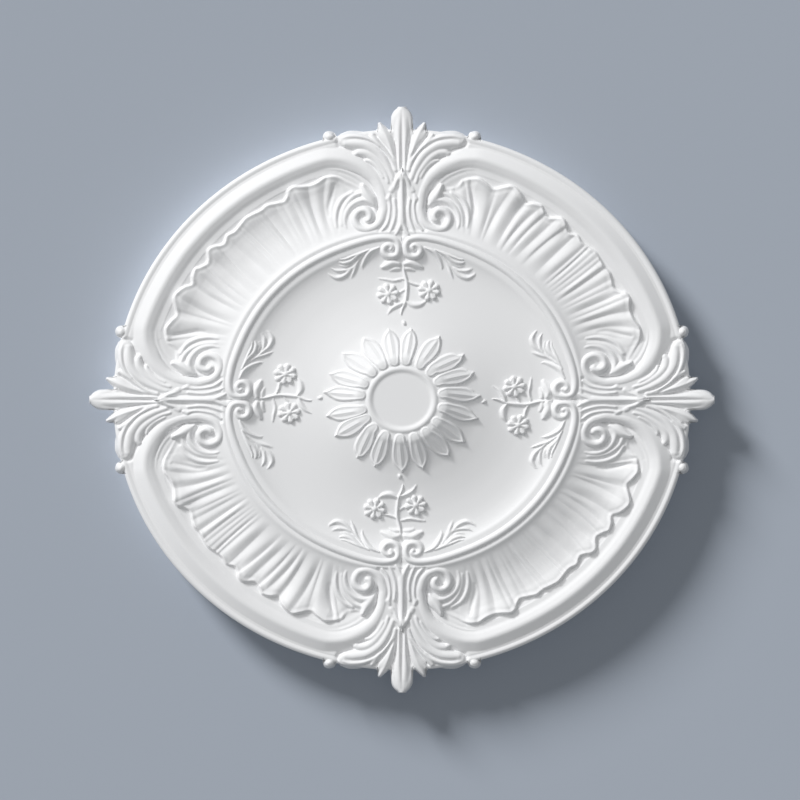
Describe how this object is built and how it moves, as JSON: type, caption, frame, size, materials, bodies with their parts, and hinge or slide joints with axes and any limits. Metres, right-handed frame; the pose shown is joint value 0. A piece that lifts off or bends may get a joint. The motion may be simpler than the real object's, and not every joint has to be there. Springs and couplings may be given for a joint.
{
  "type": "ceiling rose",
  "caption": "Slightly oval moulded ceiling rose with scrolled fluted shells, leaf palmettes, a flower-sprigged dish and a petalled boss with a flat centre disc.",
  "frame": {"origin": "centre of the flat back", "axes": "+Z out of the ornamented face, away from the ceiling; +X along the wider way across, +Y along the narrower way across"},
  "size_m": [0.7, 0.656, 0.07],
  "materials": {
    "white_moulding": "matte white primer on moulded foam"
  },
  "bodies": {
    "root": {"ceiling_rose": "white_moulding"}
  },
  "joints": []
}
